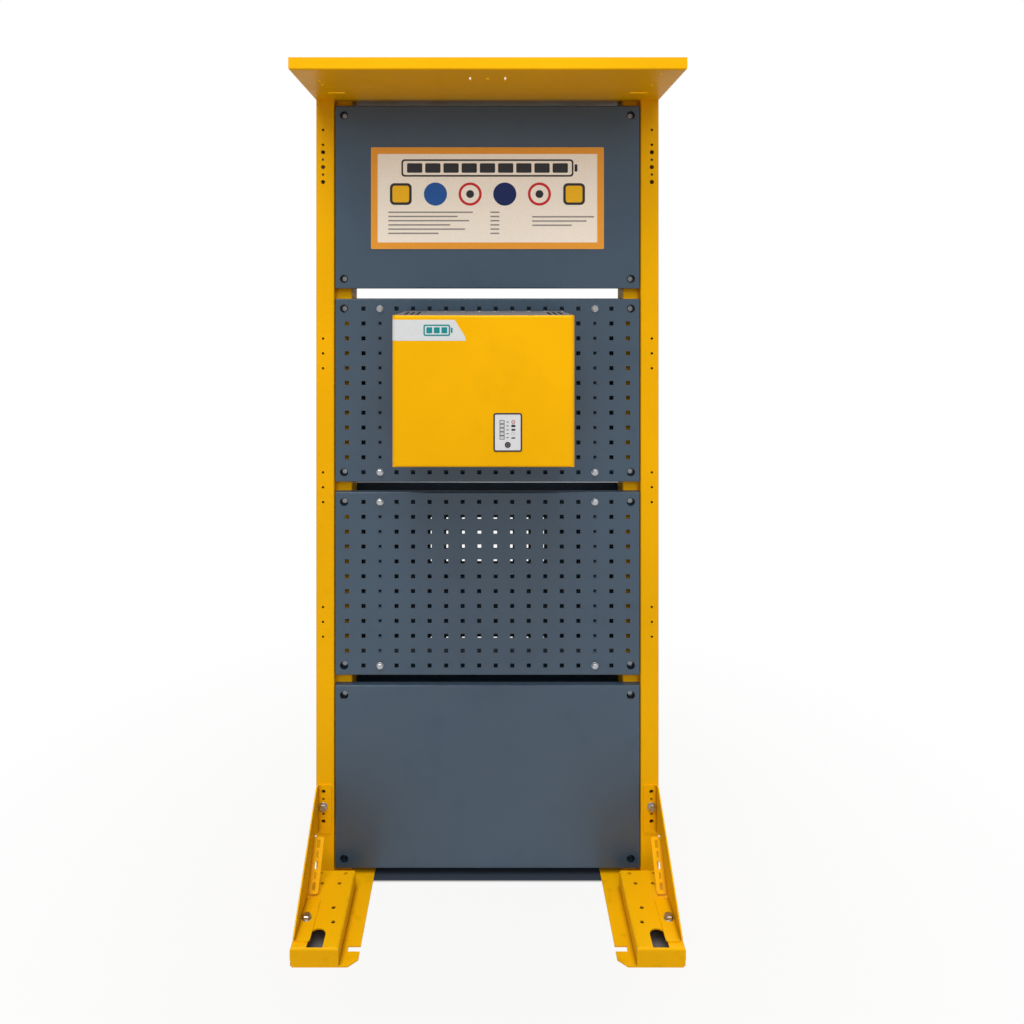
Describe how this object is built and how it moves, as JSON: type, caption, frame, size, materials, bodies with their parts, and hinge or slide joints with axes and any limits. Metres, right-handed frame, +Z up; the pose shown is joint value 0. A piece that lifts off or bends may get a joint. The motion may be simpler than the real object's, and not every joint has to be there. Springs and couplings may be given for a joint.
{
  "type": "forklift battery charging station",
  "caption": "Free-standing sheet-metal charging station with canopy, sign board, perforated and plain panels, gusseted feet and a wall charger with display, stop button and fan.",
  "frame": {"origin": "on the floor under the middle of the bounding box, half way between the uprights", "axes": "+Z up, +Y to the rear so that the front with the charger faces -Y, +X to the right seen from the front"},
  "size_m": [0.836, 0.661, 1.906],
  "materials": {
    "yellow_paint": "powder coat, semi-gloss",
    "slate_paint": "powder coat, semi-gloss",
    "zinc": "zinc plated",
    "sign_cream": "printed board",
    "grey_paint": "satin",
    "black_plastic": "moulded",
    "face_grey": "membrane foil",
    "window_white": "clear lens",
    "button_grey": "moulded",
    "green_board": "solder mask",
    "bare_aluminium": "extruded",
    "ferrite": "sintered",
    "copper": "copper",
    "capacitor_sleeve": "shrink sleeve",
    "terminal_grey": "moulded"
  },
  "bodies": {
    "station": {"upright_left": "yellow_paint", "upright_right": "yellow_paint", "foot_left": "yellow_paint", "foot_right": "yellow_paint", "gusset_front_left": "yellow_paint", "gusset_front_right": "yellow_paint", "gusset_rear_left": "yellow_paint", "gusset_rear_right": "yellow_paint", "gusset_bolts": "zinc", "canopy": "yellow_paint", "canopy_lips": "yellow_paint", "canopy_bolts": "zinc", "header_panel": "slate_paint", "charger_panel": "slate_paint", "perforated_panel": "slate_paint", "lower_panel": "slate_paint", "rear_header_panel": "slate_paint", "rear_upper_panel": "slate_paint", "rear_perforated_panel": "slate_paint", "rear_lower_panel": "slate_paint", "front_panel_bolts": "zinc", "rear_panel_bolts": "zinc", "stiffener_upper_left": "slate_paint", "stiffener_upper_right": "slate_paint", "stiffener_middle_left": "slate_paint", "stiffener_middle_right": "slate_paint", "stiffener_bolts": "zinc", "sign_board": "sign_cream", "charger_bars": "zinc", "charger_bolts": "zinc", "charger_chassis": "grey_paint", "charger_cover": "yellow_paint", "cover_screws": "zinc", "display_bezel": "black_plastic", "display_face": "face_grey", "status_windows": "window_white", "button_switch": "black_plastic", "control_board": "green_board", "power_board": "green_board", "board_pillars": "zinc", "heat_sink": "bare_aluminium", "transformer_core": "ferrite", "transformer_coil": "copper", "capacitors": "capacitor_sleeve", "contactor": "black_plastic", "terminal_block": "terminal_grey", "busbars": "copper", "fan_frame": "black_plastic", "fan_guard": "zinc", "mains_gland": "black_plastic", "lead_glands": "black_plastic"},
    "button": {"stop_button": "button_grey"},
    "fan": {"fan_rotor": "black_plastic"}
  },
  "joints": [
    {"name": "stop_button_press", "type": "slide", "parent": "station", "child": "button", "axis": [0, 1, 0], "range_m": [0, 0.0012], "stiffness_N_per_m": 800},
    {"name": "fan_spin", "type": "hinge", "parent": "station", "child": "fan", "pos_m": [-0.099, -0.215, 1.0615], "axis": [0, 0, 1], "continuous": true}
  ]
}
